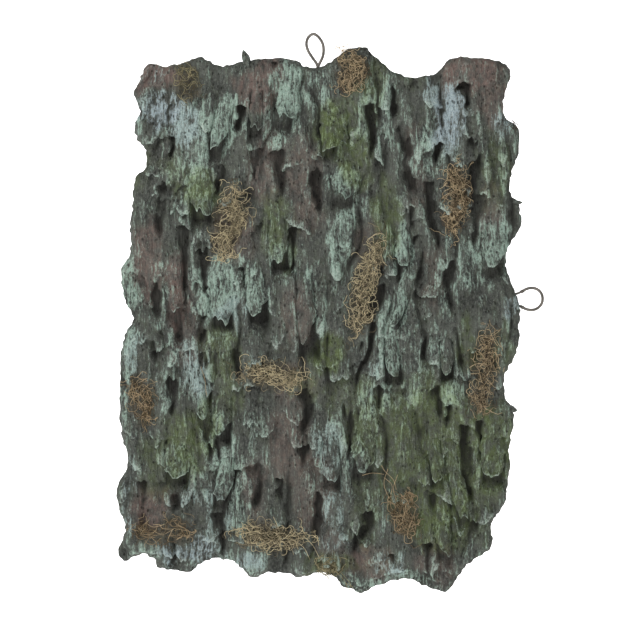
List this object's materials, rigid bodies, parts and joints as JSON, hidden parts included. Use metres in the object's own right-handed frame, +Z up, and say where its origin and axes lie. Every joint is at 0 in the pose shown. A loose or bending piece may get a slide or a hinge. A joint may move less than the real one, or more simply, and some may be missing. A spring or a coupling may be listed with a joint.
{
  "type": "camouflage bark face veil",
  "caption": "Flat flexible bark-look camouflage veil with lifting torn flaps, dry moss tufts, a cloth backing and two elastic hanging loops.",
  "frame": {"origin": "the inside of the top loop's bend, where a hook or button bears", "axes": "+Z up the hanging veil, +X across it to the onlooker's right, +Y out of its back, towards the wearer's face; the bark side faces -Y"},
  "size_m": [0.3177, 0.0196, 0.418],
  "materials": {
    "bark_skin": "matt latex-coated cloth, dark brown with dry-brushed grey-green",
    "bark_flap": "matt latex-coated cloth, dry-brushed grey-green",
    "backing_cloth": "plain weave, dark olive, matt",
    "moss": "dry curled plant fibre, brown",
    "elastic_cord": "braided sleeve over rubber, dark grey-brown"
  },
  "bodies": {
    "mask": {"bark_skin": "bark_skin", "backing_cloth": "backing_cloth", "top_loop_anchor": "elastic_cord", "side_loop_anchor_upper": "elastic_cord", "side_loop_anchor_lower": "elastic_cord", "edge_curl_top": "bark_flap", "edge_curl_side": "bark_flap", "edge_spur_side": "bark_flap", "moss_tuft_01": "moss", "moss_tuft_02": "moss", "moss_tuft_03": "moss", "moss_tuft_04": "moss", "moss_tuft_05": "moss", "moss_tuft_06": "moss", "moss_tuft_07": "moss", "moss_tuft_08": "moss", "moss_tuft_09": "moss", "moss_tuft_10": "moss", "moss_tuft_11": "moss", "moss_tuft_12": "moss"},
    "bark_flap_01": {"bark_flap_01": "bark_flap"},
    "bark_flap_02": {"bark_flap_02": "bark_flap"},
    "bark_flap_03": {"bark_flap_03": "bark_flap"},
    "bark_flap_04": {"bark_flap_04": "bark_flap"},
    "bark_flap_05": {"bark_flap_05": "bark_flap"},
    "bark_flap_06": {"bark_flap_06": "bark_flap"},
    "bark_flap_07": {"bark_flap_07": "bark_flap"},
    "bark_flap_08": {"bark_flap_08": "bark_flap"},
    "bark_flap_09": {"bark_flap_09": "bark_flap"},
    "bark_flap_10": {"bark_flap_10": "bark_flap"},
    "bark_flap_11": {"bark_flap_11": "bark_flap"},
    "bark_flap_12": {"bark_flap_12": "bark_flap"},
    "bark_flap_13": {"bark_flap_13": "bark_flap"},
    "bark_flap_14": {"bark_flap_14": "bark_flap"},
    "bark_flap_15": {"bark_flap_15": "bark_flap"},
    "bark_flap_16": {"bark_flap_16": "bark_flap"},
    "bark_flap_17": {"bark_flap_17": "bark_flap"},
    "bark_flap_18": {"bark_flap_18": "bark_flap"},
    "bark_flap_19": {"bark_flap_19": "bark_flap"},
    "bark_flap_20": {"bark_flap_20": "bark_flap"},
    "bark_flap_21": {"bark_flap_21": "bark_flap"},
    "bark_flap_22": {"bark_flap_22": "bark_flap"},
    "bark_flap_23": {"bark_flap_23": "bark_flap"},
    "bark_flap_24": {"bark_flap_24": "bark_flap"},
    "bark_flap_25": {"bark_flap_25": "bark_flap"},
    "bark_flap_26": {"bark_flap_26": "bark_flap"},
    "top_loop": {"top_loop": "elastic_cord"},
    "side_loop": {"side_loop": "elastic_cord"}
  },
  "joints": [
    {"name": "bark_flap_01_lift", "type": "hinge", "parent": "mask", "child": "bark_flap_01", "pos_m": [-0.064, -0.0043, -0.05], "axis": [-0.9635, 0, 0.2676], "range_deg": [0, 35], "stiffness_Nm_per_rad": 0.004},
    {"name": "bark_flap_02_lift", "type": "hinge", "parent": "mask", "child": "bark_flap_02", "pos_m": [-0.085, -0.0043, -0.098], "axis": [-0.9996, 0, -0.0278], "range_deg": [0, 35], "stiffness_Nm_per_rad": 0.004},
    {"name": "bark_flap_03_lift", "type": "hinge", "parent": "mask", "child": "bark_flap_03", "pos_m": [-0.017, -0.0043, -0.032], "axis": [-0.9839, 0, 0.1789], "range_deg": [0, 35], "stiffness_Nm_per_rad": 0.004},
    {"name": "bark_flap_04_lift", "type": "hinge", "parent": "mask", "child": "bark_flap_04", "pos_m": [-0.042, -0.0043, -0.04], "axis": [-0.9981, 0, 0.0624], "range_deg": [0, 35], "stiffness_Nm_per_rad": 0.004},
    {"name": "bark_flap_05_lift", "type": "hinge", "parent": "mask", "child": "bark_flap_05", "pos_m": [0.015, -0.0043, -0.054], "axis": [-0.9981, 0, -0.0624], "range_deg": [0, 35], "stiffness_Nm_per_rad": 0.004},
    {"name": "bark_flap_06_lift", "type": "hinge", "parent": "mask", "child": "bark_flap_06", "pos_m": [-0.028, -0.0043, -0.136], "axis": [-0.9961, 0, -0.0879], "range_deg": [0, 35], "stiffness_Nm_per_rad": 0.004},
    {"name": "bark_flap_07_lift", "type": "hinge", "parent": "mask", "child": "bark_flap_07", "pos_m": [0.023, -0.0043, -0.094], "axis": [-0.9976, 0, 0.0688], "range_deg": [0, 35], "stiffness_Nm_per_rad": 0.004},
    {"name": "bark_flap_08_lift", "type": "hinge", "parent": "mask", "child": "bark_flap_08", "pos_m": [0.066, -0.0043, -0.141], "axis": [-0.9996, 0, -0.0294], "range_deg": [0, 35], "stiffness_Nm_per_rad": 0.004},
    {"name": "bark_flap_09_lift", "type": "hinge", "parent": "mask", "child": "bark_flap_09", "pos_m": [0.07, -0.0043, -0.181], "axis": [-0.943, 0, 0.3328], "range_deg": [0, 35], "stiffness_Nm_per_rad": 0.004},
    {"name": "bark_flap_10_lift", "type": "hinge", "parent": "mask", "child": "bark_flap_10", "pos_m": [0.136, -0.0043, -0.14], "axis": [-0.9959, 0, 0.0905], "range_deg": [0, 35], "stiffness_Nm_per_rad": 0.004},
    {"name": "bark_flap_11_lift", "type": "hinge", "parent": "mask", "child": "bark_flap_11", "pos_m": [0.057, -0.0043, -0.224], "axis": [-0.9994, 0, -0.0333], "range_deg": [0, 35], "stiffness_Nm_per_rad": 0.004},
    {"name": "bark_flap_12_lift", "type": "hinge", "parent": "mask", "child": "bark_flap_12", "pos_m": [0.098, -0.0043, -0.226], "axis": [-0.9993, 0, -0.0384], "range_deg": [0, 35], "stiffness_Nm_per_rad": 0.004},
    {"name": "bark_flap_13_lift", "type": "hinge", "parent": "mask", "child": "bark_flap_13", "pos_m": [-0.044, -0.0043, -0.177], "axis": [-0.9954, 0, -0.0963], "range_deg": [0, 35], "stiffness_Nm_per_rad": 0.004},
    {"name": "bark_flap_14_lift", "type": "hinge", "parent": "mask", "child": "bark_flap_14", "pos_m": [-0.069, -0.0043, -0.182], "axis": [-0.9995, 0, -0.0322], "range_deg": [0, 35], "stiffness_Nm_per_rad": 0.004},
    {"name": "bark_flap_15_lift", "type": "hinge", "parent": "mask", "child": "bark_flap_15", "pos_m": [-0.007, -0.0043, -0.174], "axis": [-0.9993, 0, -0.0363], "range_deg": [0, 35], "stiffness_Nm_per_rad": 0.004},
    {"name": "bark_flap_16_lift", "type": "hinge", "parent": "mask", "child": "bark_flap_16", "pos_m": [-0.104, -0.0043, -0.178], "axis": [-1, 0, 0], "range_deg": [0, 35], "stiffness_Nm_per_rad": 0.004},
    {"name": "bark_flap_17_lift", "type": "hinge", "parent": "mask", "child": "bark_flap_17", "pos_m": [-0.089, -0.0043, -0.247], "axis": [-0.9826, 0, -0.1859], "range_deg": [0, 35], "stiffness_Nm_per_rad": 0.004},
    {"name": "bark_flap_18_lift", "type": "hinge", "parent": "mask", "child": "bark_flap_18", "pos_m": [-0.063, -0.0043, -0.312], "axis": [-0.9848, 0, 0.1738], "range_deg": [0, 35], "stiffness_Nm_per_rad": 0.004},
    {"name": "bark_flap_19_lift", "type": "hinge", "parent": "mask", "child": "bark_flap_19", "pos_m": [-0.067, -0.0043, -0.268], "axis": [-0.9995, 0, 0.0322], "range_deg": [0, 35], "stiffness_Nm_per_rad": 0.004},
    {"name": "bark_flap_20_lift", "type": "hinge", "parent": "mask", "child": "bark_flap_20", "pos_m": [-0.1, -0.0043, -0.299], "axis": [-0.9979, 0, 0.0644], "range_deg": [0, 35], "stiffness_Nm_per_rad": 0.004},
    {"name": "bark_flap_21_lift", "type": "hinge", "parent": "mask", "child": "bark_flap_21", "pos_m": [0.04, -0.0043, -0.294], "axis": [-0.9918, 0, 0.128], "range_deg": [0, 35], "stiffness_Nm_per_rad": 0.004},
    {"name": "bark_flap_22_lift", "type": "hinge", "parent": "mask", "child": "bark_flap_22", "pos_m": [0.104, -0.0043, -0.324], "axis": [-0.9806, 0, -0.1961], "range_deg": [0, 35], "stiffness_Nm_per_rad": 0.004},
    {"name": "bark_flap_23_lift", "type": "hinge", "parent": "mask", "child": "bark_flap_23", "pos_m": [0.09, -0.0043, -0.3], "axis": [-0.9995, 0, -0.0322], "range_deg": [0, 35], "stiffness_Nm_per_rad": 0.004},
    {"name": "bark_flap_24_lift", "type": "hinge", "parent": "mask", "child": "bark_flap_24", "pos_m": [0.134, -0.0043, -0.297], "axis": [-0.9995, 0, 0.0322], "range_deg": [0, 35], "stiffness_Nm_per_rad": 0.004},
    {"name": "bark_flap_25_lift", "type": "hinge", "parent": "mask", "child": "bark_flap_25", "pos_m": [0.096, -0.0043, -0.361], "axis": [-0.9992, 0, -0.04], "range_deg": [0, 35], "stiffness_Nm_per_rad": 0.004},
    {"name": "bark_flap_26_lift", "type": "hinge", "parent": "mask", "child": "bark_flap_26", "pos_m": [0.012, -0.0043, -0.3], "axis": [-0.9995, 0, -0.0312], "range_deg": [0, 35], "stiffness_Nm_per_rad": 0.004},
    {"name": "top_loop_swing", "type": "hinge", "parent": "mask", "child": "top_loop", "pos_m": [0.003, 0, -0.0232], "axis": [1, 0, 0], "range_deg": [-80, 80], "stiffness_Nm_per_rad": 0.004},
    {"name": "side_loop_swing", "type": "hinge", "parent": "mask", "child": "side_loop", "pos_m": [0.1553, 0, -0.197], "axis": [0, 0, 1], "range_deg": [-80, 80], "stiffness_Nm_per_rad": 0.004}
  ]
}
